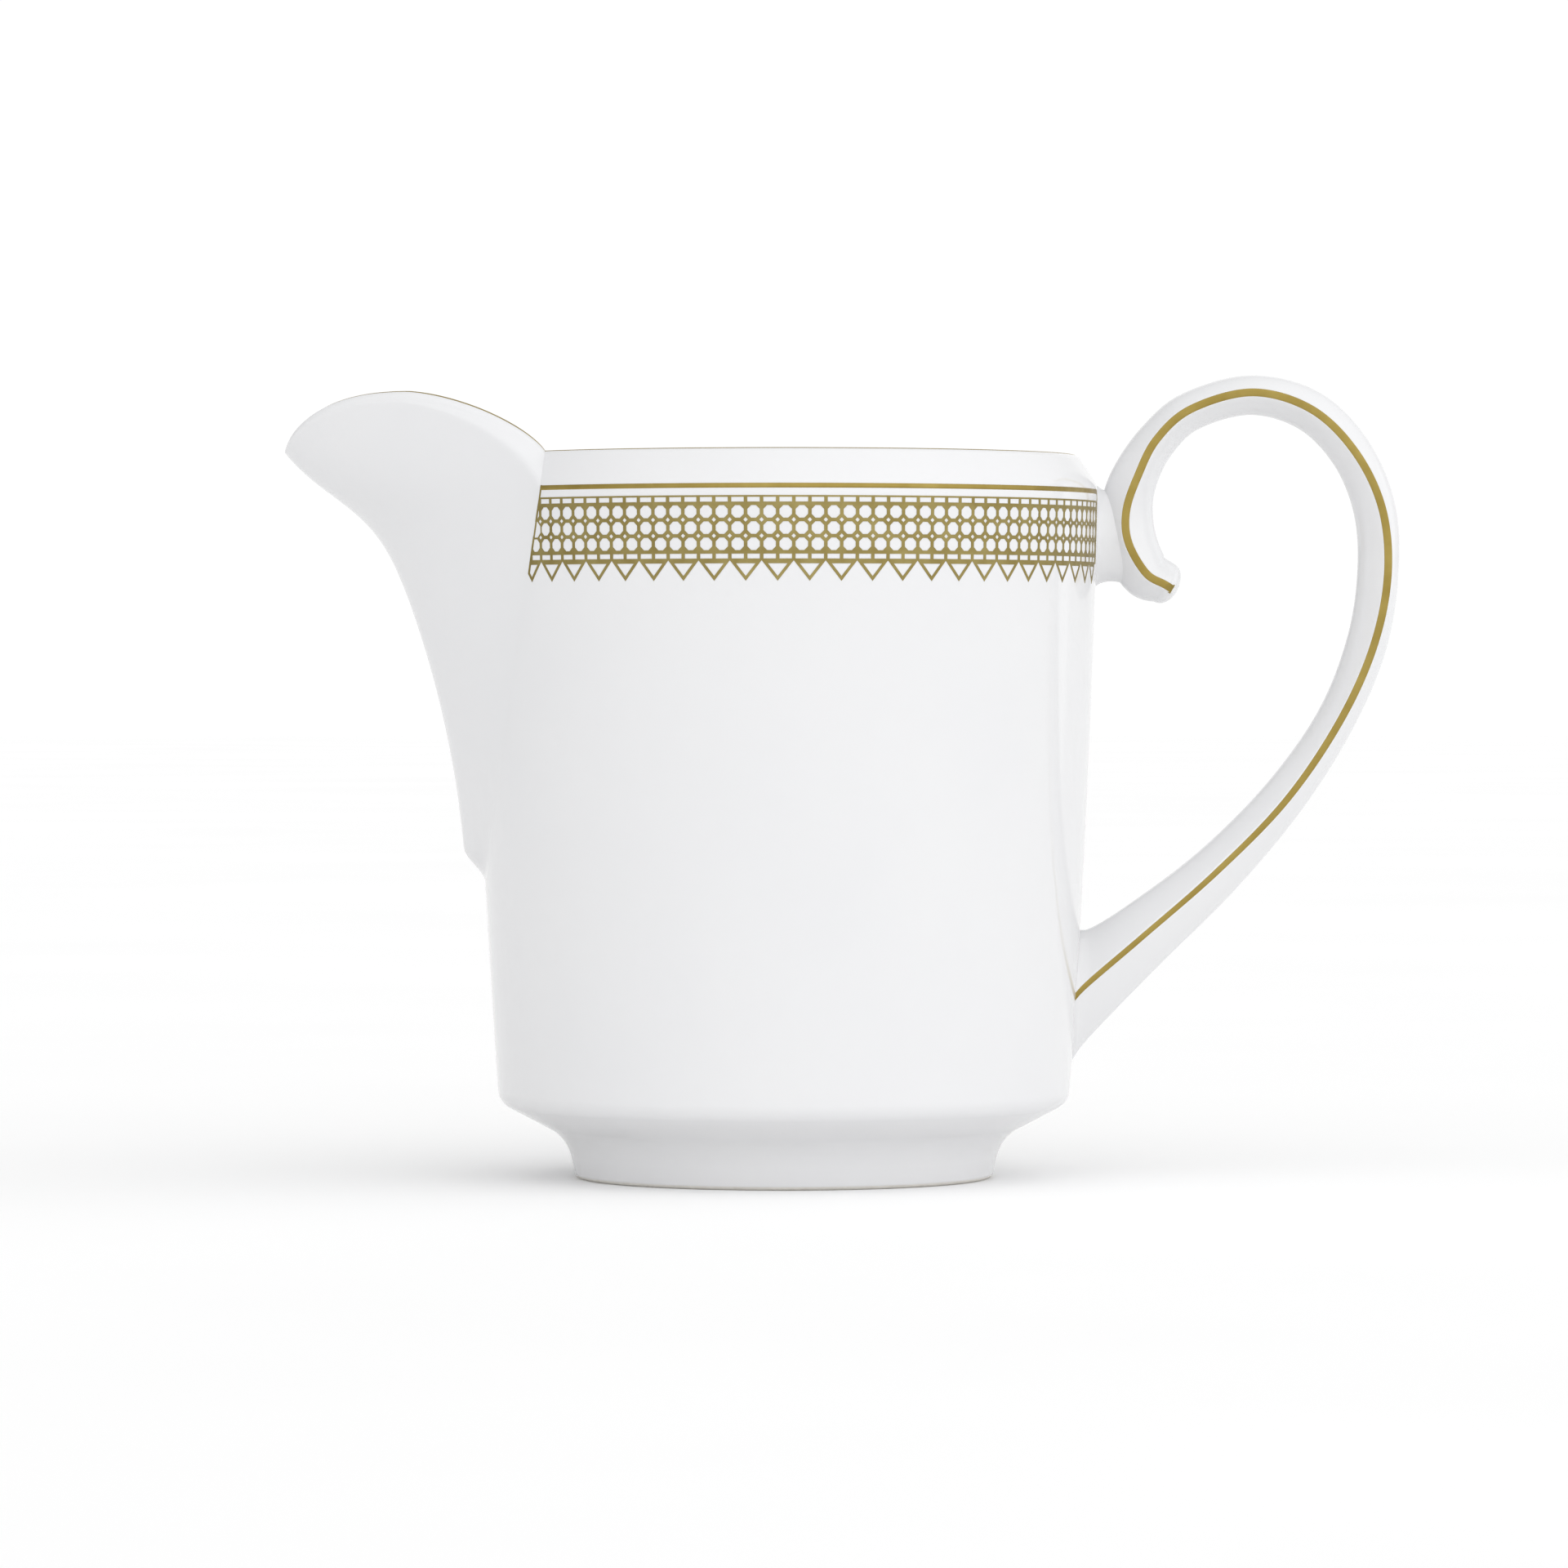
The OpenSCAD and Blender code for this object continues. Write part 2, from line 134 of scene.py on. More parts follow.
# Share of the way along the side view for v from seam to nose: 0.72 (1-v)^2 v + 3 (1-v) v^2 + v^3
def along(v):
    return 0.72 * (1 - v) ** 2 * v + 3 * (1 - v) * v * v + v ** 3


# Height of the lip: rim + rise (1 - |1 - s/m|^crestPower) up to the crest at m, then from the crest
# to the tip by ((s - m) / (1 - m))^tipPower
def lipHeight(v):
    s, m = along(v), spout["lipMiddle"]
    up = jug["rimHeight"] + spout["lipRise"] * (1 - np.abs(1 - s / m) ** spout["crestPower"])
    down = mix(jug["rimHeight"] + spout["lipRise"], jug["rimHeight"] + spout["tipRise"],
               np.abs((s - m) / (1 - m)) ** spout["tipPower"])
    return np.where(s < m, up, down)


# The shoulder fades along the lip: e^(-3.5 s) times the root of 1 - s, and never below 0.05
def bevel(v):
    s = along(v)
    return np.maximum(np.exp(-3.5 * s) * np.sqrt(np.clip(1 - s, 0, 1)), 0.05)


# Level curve from the seam circle of radius r to the nose at reach n: a cubic that leaves the circle
# along its tangent and crosses the nose squarely
def levelCurve(v, z, r, n):
    x0 = seamX(z)
    w = np.sqrt(np.maximum(0, r * r - x0 * x0))
    u = 1 - v
    x1, y1 = x0 - 0.36 * w * w / r, w + 0.36 * w * x0 / r
    x = u ** 3 * x0 + 3 * u * u * v * x1 - 3 * u * v * v * n - v ** 3 * n
    y = u ** 3 * w + 3 * u * u * v * y1 + 3 * u * v * v * 0.3 * w
    return x, y, z + 0 * x


# How many rows of points each stretch of the section gets
rows = {"wall": 64, "shoulder": 12, "edge": 18, "inShoulder": 10, "inWall": 52}
# At the place v: radius of the round edge's centre, its height, the outer crease and the edge's turn
edgeCentre = lambda v: mix(jug["bellyRadius"] - rho, rimCentre[0], bevel(v))
edgeTop = lambda v: lipHeight(v) - rho
creaseAt = lambda v: edgeTop(v) - (jug["shoulderHeight"] - rho) * bevel(v)
edgeTurn = lambda v: leanAngle * bevel(v)


# Outside: radius = wall - slope * soft corner(z - crease), the slope set so that it meets the round
# edge, and faded out over twelve times the softness below the crease
def outerRadius(z, v):
    turn, crease = edgeTurn(v), creaseAt(v)
    start = edgeTop(v) + rho * np.sin(turn)
    slope = (jug["bellyRadius"] - edgeCentre(v) - rho * np.cos(turn)) / (start - crease)
    soft = jug["creaseSoft"] * bevel(v)
    lean = softCorner(z - crease, soft) - softCorner(start - crease, soft) + start - crease
    return wallRadius(z) - slope * lean * smooth((z - crease + 12 * soft) / (12 * soft))


inCorner = rimCentre + rho * leanIn
inLeanDepth = (jug["bellyRadius"] - jug["wall"] - inCorner[0]) / math.tan(leanAngle)


# Inside, the same way: radius = wall - thickness - slope * soft corner(z - inner crease)
def innerRadius(z, v):
    turn = edgeTurn(v)
    end = edgeTop(v) - rho * np.sin(turn)
    depth = inLeanDepth * bevel(v)
    slope = (jug["bellyRadius"] - jug["wall"] - edgeCentre(v) + rho * np.cos(turn)) / depth
    soft = jug["inCreaseSoft"] * bevel(v)
    lean = softCorner(z - end + depth, soft) - softCorner(depth, soft) + depth
    return wallRadius(z) - jug["wall"] - slope * lean * smooth((z - end + depth + 8 * soft) / (8 * soft))


# Height where the inside of the spout opens: the inner wall crosses the seam plane
probe = np.linspace(spout["tongueHeight"], creaseHeight - 4, 4000)
mouthHeight = float(probe[np.argmax(wallRadius(probe) - jug["wall"] > -seamX(probe))])


# Heights, radii and part numbers of every station at the place v, from the tongue up, over and down
def stations(v):
    v = np.atleast_1d(v)[None, :]
    one = np.ones_like(v)
    t = lambda n: crowded(n)[:, None]
    zWall = mix(spout["tongueHeight"] * one, creaseAt(v), t(rows["wall"]))
    zShoulder = mix(creaseAt(v), edgeTop(v) + rho * np.sin(edgeTurn(v)), t(rows["shoulder"]))[1:]
    angle = edgeTurn(v) + np.pi * (np.arange(1, rows["edge"]) / rows["edge"])[:, None]
    zEdge = edgeTop(v) + rho * np.sin(angle)
    rEdge = edgeCentre(v) + rho * np.cos(angle)
    zEnd = edgeTop(v) - rho * np.sin(edgeTurn(v))
    zInCrease = zEnd - inLeanDepth * bevel(v)
    zInShoulder = mix(zEnd, zInCrease, t(rows["inShoulder"]))
    zInWall = mix(zInCrease, mouthHeight * one, t(rows["inWall"]))[1:]
    zOut = np.vstack([zWall, zShoulder])
    zIn = np.vstack([zInShoulder, zInWall])
    z = np.vstack([zOut, zEdge, zIn])
    r = np.vstack([outerRadius(zOut, v), rEdge, innerRadius(zIn, v)])
    return z, r, angle, len(zOut), len(zEdge)


# Quads between neighbouring rows and columns of an m by n grid; either way round may close on itself
def gridFaces(m, n, closeRows=False, closeColumns=False):
    i = np.arange(m if closeRows else m - 1)[:, None]
    j = np.arange(n if closeColumns else n - 1)[None, :]
    i2, j2 = (i + 1) % m, (j + 1) % n
    return np.stack([i * n + j, i * n + j2, i2 * n + j2, i2 * n + j], axis=-1).reshape(-1, 4)


sharpAngle = 0.45                          # radians between two faces from which their edge shows


# A mesh object from points in millimetres and a list of faces; doubles merged, open rims filled flat,
# faces turned outwards by the sign of the volume
def makePiece(name, points, faces, fill=True, merge=True):
    points = np.asarray(points, dtype=float).reshape(-1, 3) * mm
    mesh = bpy.data.meshes.new(name)
    mesh.from_pydata(points.tolist(), [], faces if isinstance(faces, list) else faces.tolist())
    piece = bpy.data.objects.new(name, mesh)
    bpy.context.scene.collection.objects.link(piece)
    bm = bmesh.new()
    bm.from_mesh(mesh)
    if merge:
        bmesh.ops.remove_doubles(bm, verts=bm.verts, dist=2e-7)
        bmesh.ops.dissolve_degenerate(bm, edges=bm.edges, dist=1e-8)
    for f in bm.faces:
        f.smooth = True
    for e in bm.edges:
        e.smooth = e.calc_face_angle(0) < sharpAngle
    rim = [e for e in bm.edges if e.is_boundary]
    if fill and rim:
        made = bmesh.ops.holes_fill(bm, edges=rim, sides=0)["faces"]
        for f in made:
            f.smooth = False
        for e in rim:
            e.smooth = False
        bmesh.ops.triangulate(bm, faces=[f for f in made if len(f.verts) > 4])
    if bm.calc_volume(signed=True) < 0:
        bmesh.ops.reverse_faces(bm, faces=bm.faces)
    bm.to_mesh(mesh)
    openEdges = sum(1 for e in bm.edges if not e.is_manifold)
    volume = bm.calc_volume(signed=True)
    bm.free()
    print(f"  {name}: {len(mesh.polygons)} faces, open edges {openEdges}, volume {volume * 1e9:.1f} mm3")
    return piece


# Finishes a piece: gives it its material, hangs it on the root body and hides the frame node it takes the place
# of
def handOver(piece, node, material):
    piece.data.materials.append(material)
    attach(piece, "root")
    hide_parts(node)


# A material with its node tree and its shader
def newMaterial(name):
    material = bpy.data.materials.new(name)
    material.use_nodes = True
    tree = material.node_tree
    shader = next(n for n in tree.nodes if n.type == "BSDF_PRINCIPLED")
    return material, tree, shader


# A node whose named settings go to its properties or, failing that, to its sockets
def addNode(tree, kind, **values):
    node = tree.nodes.new(kind)
    for key, value in values.items():
        if hasattr(node, key):
            setattr(node, key, value)
        else:
            node.inputs[key.replace("_", " ")].default_value = value
    return node


# Noise on Object coordinates: low + (high - low)(noise - 0.3) / 0.4, kept between the two limits
def noiseBetween(tree, scale, low, high, detail=3.0):
    place = addNode(tree, "ShaderNodeTexCoord")
    noise = addNode(tree, "ShaderNodeTexNoise", Scale=scale, Detail=detail, Roughness=0.55)
    spread = addNode(tree, "ShaderNodeMapRange")
    spread.inputs["From Min"].default_value = 0.3
    spread.inputs["From Max"].default_value = 0.7
    spread.inputs["To Min"].default_value = low
    spread.inputs["To Max"].default_value = high
    tree.links.new(place.outputs["Object"], noise.inputs["Vector"])
    tree.links.new(noise.outputs["Fac"], spread.inputs["Value"])
    return spread.outputs["Result"]


# Two colours mixed by a number
def colourBetween(tree, factor, a, b):
    ramp = addNode(tree, "ShaderNodeValToRGB")
    ramp.color_ramp.elements[0].color = (*a, 1)
    ramp.color_ramp.elements[1].color = (*b, 1)
    tree.links.new(factor, ramp.inputs["Fac"])
    return ramp.outputs["Color"]


# Bump from a number, its distance in metres
def addBump(tree, height, strength, distance):
    bump = addNode(tree, "ShaderNodeBump", Strength=strength, Distance=distance)
    tree.links.new(height, bump.inputs["Height"])
    return bump


glaze = {
    "white": (0.748, 0.749, 0.757),
    "cool": (0.732, 0.734, 0.746),
    "gloss": (0.07, 0.13),
    "ior": 1.52,
    "ripple": 0.00004,                     # depth of the glaze's slow waves, in metres
    "bare": (0.74, 0.72, 0.68), "bareDeep": (0.66, 0.635, 0.59), "bareRough": 0.62,
    "bareBelow": 0.35, "bareFade": 0.12,   # height up to which the foot is wiped bare, millimetres
}


# White porcelain under clear glaze; with wiped, the ring that stands on the table is bare, matt,
# faintly warm and grainy
def glazedPorcelain(name, wiped=False):
    material, tree, shader = newMaterial(name)
    tone = noiseBetween(tree, 45, 0, 1)
    colour = colourBetween(tree, tone, glaze["white"], glaze["cool"])
    gloss = noiseBetween(tree, 160, *glaze["gloss"])
    waves = addBump(tree, noiseBetween(tree, 70, 0, 1, detail=1.0), 0.25, glaze["ripple"])
    normal = waves.outputs["Normal"]
    if wiped:
        place = addNode(tree, "ShaderNodeTexCoord")
        axes = addNode(tree, "ShaderNodeSeparateXYZ")
        tree.links.new(place.outputs["Object"], axes.inputs["Vector"])
        edge = addNode(tree, "ShaderNodeMapRange", interpolation_type="SMOOTHSTEP")
        edge.inputs["From Min"].default_value = glaze["bareBelow"] * mm
        edge.inputs["From Max"].default_value = (glaze["bareBelow"] + glaze["bareFade"]) * mm
        edge.inputs["To Min"].default_value = 1.0
        edge.inputs["To Max"].default_value = 0.0
        tree.links.new(axes.outputs["Z"], edge.inputs["Value"])
        bareTone = colourBetween(tree, noiseBetween(tree, 900, 0, 1), glaze["bare"], glaze["bareDeep"])
        blend = addNode(tree, "ShaderNodeMix", data_type="RGBA")
        tree.links.new(edge.outputs["Result"], blend.inputs["Factor"])
        tree.links.new(colour, blend.inputs[6])
        tree.links.new(bareTone, blend.inputs[7])
        colour = blend.outputs[2]
        rough = addNode(tree, "ShaderNodeMix", data_type="FLOAT")
        tree.links.new(edge.outputs["Result"], rough.inputs["Factor"])
        tree.links.new(gloss, rough.inputs[2])
        rough.inputs[3].default_value = glaze["bareRough"]
        gloss = rough.outputs[0]
    tree.links.new(colour, shader.inputs["Base Color"])
    tree.links.new(gloss, shader.inputs["Roughness"])
    tree.links.new(normal, shader.inputs["Normal"])
    shader.inputs["IOR"].default_value = glaze["ior"]
    return material


gold = {
    "bright": {"light": (0.355, 0.268, 0.078), "deep": (0.285, 0.208, 0.052), "gloss": (0.30, 0.42),
               "grain": 260},
    "lace": {"light": (0.335, 0.275, 0.108), "deep": (0.262, 0.205, 0.07), "gloss": (0.38, 0.5),
             "grain": 420},
    "brush": 0.00001,                      # depth of the brush marks, in metres
}


# Fired gold: tone and roughness wander over its grain, with fine brush marks
def firedGold(name, finish):
    material, tree, shader = newMaterial(name)
    colour = colourBetween(tree, noiseBetween(tree, finish["grain"], 0, 1), finish["deep"], finish["light"])
    tree.links.new(colour, shader.inputs["Base Color"])
    tree.links.new(noiseBetween(tree, finish["grain"] * 3, *finish["gloss"]), shader.inputs["Roughness"])
    brush = addBump(tree, noiseBetween(tree, 2500, 0, 1, detail=1.0), 0.15, gold["brush"])
    tree.links.new(brush.outputs["Normal"], shader.inputs["Normal"])
    shader.inputs["Metallic"].default_value = 1.0
    return material


porcelain = glazedPorcelain("glazedPorcelain")
footPorcelain = glazedPorcelain("footPorcelain", wiped=True)
brightGold = firedGold("brightGold", gold["bright"])
laceGold = firedGold("laceGold", gold["lace"])
print("materials made")


# Rounded corner of radius r at p between neighbours a and b, as n + 1 points on its arc
def roundCorner(a, p, b, r, n=14):
    u, v = (a - p) / np.linalg.norm(a - p), (b - p) / np.linalg.norm(b - p)
    half = math.acos(float(u @ v)) / 2
    centre = p + (u + v) / np.linalg.norm(u + v) * r / math.sin(half)
    start, end = p + u * r / math.tan(half) - centre, p + v * r / math.tan(half) - centre
    first = math.atan2(start[1], start[0])
    sweep = (math.atan2(end[1], end[0]) - first + math.pi) % (2 * math.pi) - math.pi
    angle = first + sweep * np.arange(n + 1) / n
    return centre + r * np.stack([np.cos(angle), np.sin(angle)], axis=1)


# Body: half a section from the middle of the underside, out over the rim and in to the floor's middle
point = lambda r, z: np.array([float(r), float(z)])
zSeam, rSeam = [column[:, 0] for column in stations(0.0)[:2]]
heel = point(jug["heelRadius"], jug["heelHeight"])
seat = point(jug["seatRadius"], jug["seatHeight"])
heelArc = roundCorner(seat, heel, point(wallRadius(20), 20), jug["heelRound"])
zLower = np.linspace(heelArc[-1, 1], spout["tongueHeight"], 16)[1:-1]
zInLower = np.linspace(mouthHeight, jug["floorHeight"] + jug["floorFillet"] + 1, 14)[1:]
floorCorner = point(wallRadius(jug["floorHeight"]) - jug["wall"], jug["floorHeight"])
floorArc = roundCorner(point(wallRadius(30) - jug["wall"], 30), floorCorner, point(0, jug["floorHeight"]),
                       jug["floorFillet"], 20)
below = np.vstack([
    np.stack([np.linspace(0, 1, 8) * seat[0], 0 * np.arange(8) + seat[1]], axis=1),
    seat + (heelArc[0] - seat) * (np.arange(1, 4) / 4)[:, None], heelArc,
    np.stack([wallRadius(zLower), zLower], axis=1)])
above = np.vstack([
    np.stack([wallRadius(zInLower) - jug["wall"], zInLower], axis=1), floorArc,
    np.stack([floorArc[-1, 0] * np.linspace(1, 0, 8)[1:], 0 * np.arange(7) + jug["floorHeight"]], axis=1)])
profile = np.vstack([below, np.stack([rSeam, zSeam], axis=1), above])
# Each station turns from the seam round to the seam: angle = start + (360 - 2 start) t, where the
# start is the arccosine of the seam plane over the radius, and nought where the ring is whole
cut = np.zeros(len(profile))
cut[len(below):len(below) + len(rSeam)] = np.arccos(np.clip(-seamX(zSeam) / rSeam, -1, 1))
columns = 300
t = mix(np.arange(columns + 1) / columns, crowded(columns), 0.6)
turn = cut[:, None] + (2 * np.pi - 2 * cut[:, None]) * t[None, :]
bodyPoints = np.stack([-profile[:, :1] * np.cos(turn), profile[:, :1] * np.sin(turn),
                       profile[:, 1:] + 0 * turn], axis=-1)
bodyShell = makePiece("bodyShell", bodyPoints, gridFaces(*turn.shape))
handOver(bodyShell, "body", porcelain)
print("body made")

# Spout: the same stations, drawn out to the nose along level curves from one seam to the other
spoutColumns = 180
v = 1 - np.abs(2 * mix(np.arange(spoutColumns + 1) / spoutColumns, crowded(spoutColumns), 0.5) - 1)
side = np.where(np.arange(spoutColumns + 1) < spoutColumns / 2, 1.0, -1.0)[None, :]
zs, rs, angles, outs, edges = stations(v)
reach = np.empty_like(zs)
reach[:outs] = noseReach(zs[:outs])
reach[outs:outs + edges] = noseReach(edgeTop(v))[None, :] - rho + rho * np.cos(angles)
# Inside the reach is less by the wall measured level, and opens from the seam over the mouth's run
zi = zs[outs + edges:]
slope = 2 * (noseReach(zi + 0.25) - noseReach(zi - 0.25))
inShare = (zi[:1] - zi) / (zi[:1] - zi[-1:])
levelWall = mix(jug["wall"], jug["wall"] * np.hypot(1, slope), smooth(4 * inShare))
opened = smooth((zi - mouthHeight) / spout["mouthRun"])
reach[outs + edges:] = mix(-seamX(zi), noseReach(zi) - levelWall, opened)
sx, sy, sz = levelCurve(v[None, :], zs, rs, reach)
spoutPoints = np.stack([sx, sy * side, sz], axis=-1)
spoutShell = makePiece("spoutShell", spoutPoints, gridFaces(*sx.shape))
handOver(spoutShell, "spout", porcelain)
print("spout made")

# Foot ring: turned from its own section, with a cove under the body
foot = {"radius": 24.3, "draft": 1.1, "width": 2.9, "edgeRound": 0.8, "coveRound": 5.0, "innerRound": 0.8}
coveRadius = foot["radius"] + foot["draft"]
footSlope = (jug["heelHeight"] - seat[1]) / (jug["heelRadius"] - seat[0])
cove = point(coveRadius, seat[1] - (seat[0] - coveRadius) * footSlope)
outerEdge, innerEdge = point(foot["radius"], 0), point(foot["radius"] - foot["width"], 0)
innerTop = point(foot["radius"] - foot["width"], seat[1])
ringPath = np.vstack([
    [seat], roundCorner(seat, cove, outerEdge, foot["coveRound"]),
    roundCorner(cove, outerEdge, innerEdge, foot["edgeRound"]),
    roundCorner(outerEdge, innerEdge, innerTop, foot["innerRound"]), [innerTop], [mix(innerTop, seat, 0.5)]])
# A ring turned about the axis: (r cos a, r sin a, z)
ringTurn = np.linspace(0, 2 * np.pi, 288, endpoint=False)[None, :]
ringPoints = np.stack([ringPath[:, :1] * np.cos(ringTurn), ringPath[:, :1] * np.sin(ringTurn),
                       ringPath[:, 1:] + 0 * ringTurn], axis=-1)
ringFaces = gridFaces(*ringPoints.shape[:2], closeRows=True, closeColumns=True)
footRing = makePiece("footRing", ringPoints, ringFaces)
handOver(footRing, "foot_ring", footPorcelain)
print("foot ring made")

handle = {
    "reach": 35.6, "low": 15.3, "top": creaseHeight + 13.0,
    "halfWidth": 3.6, "rootWider": 0.22, "ridgeBlunt": 0.52, "tipRound": 1.7,
    "inWall": 1.2, "fillet": 0.7, "rootMiddle": 22.6,
    # ridge line: reach from the wall at that height, rise, depth outside, depth inside
    "ridge": [(0.2250, 0.6869, 2.2, 2.8), (0.1580, 0.7050, 2.8, 3.2), (0.0972, 0.7511, 2.75, 3.65),
              (0.0881, 0.7975, 2.75, 3.45), (0.1238, 0.8490, 2.8, 2.66),
              (0.1858, 0.9038, 2.14, 2.66), (0.3000, 0.9490, 2.06, 2.52),
              (0.5001, 0.9734, 2.12, 2.52), (0.6925, 0.9483, 2.47, 2.45),
              (0.8364, 0.8849, 2.38, 2.56), (0.9275, 0.7995, 1.98, 3), (0.9513, 0.6994, 1.65, 3.21),
              (0.9104, 0.5917, 1.9, 2.9), (0.8079, 0.4804, 2.1, 2.5), (0.6456, 0.3654, 2.46, 2.74),
              (0.4291, 0.2596, 3.34, 2.9), (0.1980, 0.1637, 4.08, 3.78),
              (0.0067, 0.0855, 4.9, 5.25), (-0.1621, 0.0100, 5.4, 6.4)],
}
ridge = np.array(handle["ridge"])
ridge[:, 1] = mix(handle["low"], handle["top"], ridge[:, 1])
ridge[:, 0] = wallRadius(ridge[:, 1]) + handle["reach"] * ridge[:, 0]


# Catmull-Rom spline through the rows of a list at whole arrays of t: the cubic that passes through
# p1 and p2 with the slopes (p2 - p0) / 2 and (p3 - p1) / 2
def spline(rowsOf, t):
    padded = np.vstack([2 * rowsOf[0] - rowsOf[1], rowsOf, 2 * rowsOf[-1] - rowsOf[-2]])
    i = np.clip(np.floor(t).astype(int), 0, len(rowsOf) - 2)
    u = (t - i)[:, None]
    p0, p1, p2, p3 = padded[i], padded[i + 1], padded[i + 2], padded[i + 3]
    return 0.5 * (2 * p1 + (p2 - p0) * u + (2 * p0 - 5 * p1 + 4 * p2 - p3) * u ** 2
                  + (3 * p1 - p0 - 3 * p2 + p3) * u ** 3)


ridgeEnd = len(ridge) - 1
tRidge = np.linspace(0, ridgeEnd, 460)
line = spline(ridge, tRidge)
ahead = (spline(ridge, np.clip(tRidge + 0.02, 0, ridgeEnd))
         - spline(ridge, np.clip(tRidge - 0.02, 0, ridgeEnd)))[:, :2]
outward = np.stack([-ahead[:, 1], ahead[:, 0]], axis=1)
outward /= np.linalg.norm(outward, axis=1)[:, None]
strapWidth = handle["halfWidth"] * (1 + handle["rootWider"] * smooth((tRidge - 13) / 4))
half = 20
across = np.sin(np.linspace(-1, 1, 2 * half + 1) * np.pi / 2)
blunt = handle["ridgeBlunt"]
# Depth of a bowed face: blunt + (depth - blunt)(1 - |y|^1.9)
bow = lambda depth, y: blunt + (depth - blunt) * (1 - np.abs(y) ** 1.9)
faceOut = bow(line[:, 2:3], across[None, :])
faceIn = -bow(line[:, 3:4], across[None, :])
y = np.concatenate([across, across[::-1]])[None, :] * strapWidth[:, None]
q = np.concatenate([faceOut, faceIn[:, ::-1]], axis=1)
strapPoints = np.stack([line[:, :1] + q * outward[:, :1], y, line[:, 1:2] + q * outward[:, 1:]], axis=-1)

# The scroll's tip: rings shrink by the cosine and move on by the sine of a quarter turn
tipAngle = np.linspace(0.5 * np.pi, 0.06, 12)[:, None, None]
tipAhead = -np.array([outward[0, 1], 0, -outward[0, 0]])
centreTip = np.array([line[0, 0], 0, line[0, 1]])
tipRings = (centreTip + (strapPoints[:1] - centreTip) * np.maximum(np.cos(tipAngle), 0.02)
            + handle["tipRound"] * np.sin(tipAngle) * tipAhead)
strapPoints = np.concatenate([tipRings, strapPoints])


# The lower end: each long line is followed until it is well inside the wall, and its last 180 steps
# become 70 even ones up to there
def trimToWall(points, inside, last=70, span=180):
    depth = np.hypot(points[..., 0], points[..., 1]) - wallRadius(points[..., 2]) + inside
    index = np.argmax(depth < 0, axis=0)
    index[index == 0] = len(points) - 1
    k = np.arange(points.shape[1])
    d0, d1 = depth[index - 1, k], depth[index, k]
    stop = index - 1 + d0 / (d0 - d1)
    begin = len(points) - span
    share = (np.arange(last + 1) / last)[:, None]
    where = begin + (stop[None, :] - begin) * share
    i = np.floor(where).astype(int)
    f = (where - i)[..., None]
    tail = points[i, k[None, :]] * (1 - f) + points[np.minimum(i + 1, len(points) - 1), k[None, :]] * f
    return np.concatenate([points[:begin], tail])


strapPoints = trimToWall(strapPoints, handle["inWall"])


# Fillet where clay meets clay: points near the wall swell away from the joint's middle by
# size * e^(-distance / size)
def flareToWall(points, middle, size):
    gap = np.maximum(np.hypot(points[..., 0], points[..., 1]) - wallRadius(points[..., 2]), 0)
    swell = size * np.exp(-gap / size)
    away = points - middle
    away[..., 0] = 0
    length = np.linalg.norm(away, axis=-1, keepdims=True)
    return points + away / np.maximum(length, 1e-6) * swell[..., None]


strapPoints = flareToWall(strapPoints, np.array([0, 0, handle["rootMiddle"]]), handle["fillet"])

# The bridge: an oval neck along X from inside the wall to inside the scroll; over its outer half it
# grows by swell (2e - 1)^2 for the share e of the way
bridge = {
    "middle": mix(handle["low"], handle["top"], 0.76), "halfHeight": 5.2,
    "halfWidth": 0.86 * handle["halfWidth"], "swell": 0.12,
    "end": jug["bellyRadius"] + 0.105 * handle["reach"],
}
bridgeX = np.linspace(wallRadius(bridge["middle"]) - handle["inWall"], bridge["end"], 40)[:, None]
bridgeTurn = np.linspace(0, 2 * np.pi, 72, endpoint=False)[None, :]
e = np.clip((bridgeX - bridgeX[0]) / (bridgeX[-1] - bridgeX[0]), 0, 1)
grow = 1 + bridge["swell"] * np.maximum(2 * e - 1, 0) ** 2
bridgePoints = np.stack([bridgeX + 0 * bridgeTurn, bridge["halfWidth"] * grow * np.cos(bridgeTurn),
                         bridge["middle"] + bridge["halfHeight"] * grow * np.sin(bridgeTurn)], axis=-1)
bridgePoints = flareToWall(bridgePoints, np.array([0, 0, bridge["middle"]]), handle["fillet"])
strapFaces = gridFaces(*strapPoints.shape[:2], closeColumns=True)
bridgeFaces = gridFaces(*bridgePoints.shape[:2], closeColumns=True)[:, ::-1] + strapPoints[..., 0].size
handleLoop = makePiece("handleLoop", np.vstack([strapPoints.reshape(-1, 3), bridgePoints.reshape(-1, 3)]),
                       np.vstack([strapFaces, bridgeFaces]))
handOver(handleLoop, "handle", porcelain)
print("handle made")

# Gilding on the edges: how far gold stands proud and is sunk, and its widths
gild = {"proud": 0.04, "sunk": 0.05, "width": 0.85, "ridgeWidth": 1.16, "ridgeSunk": 0.2, "tipRows": 7}


# A film on a round edge, w from -1 to 1 across it: angle = a quarter turn + w width / (2 rho), and
# height = proud (1 - w^4) - sunk w^4, then back along the sunk underside
def edgeFilm(n=8):
    w = np.linspace(-1, 1, n + 1)
    angle = np.pi / 2 + w * gild["width"] / rho / 2
    height = gild["proud"] * (1 - w ** 4) - gild["sunk"] * w ** 4
    radius = np.concatenate([rho + height, rho - gild["sunk"] - 0 * w])
    return radius, np.concatenate([angle, angle[::-1]])


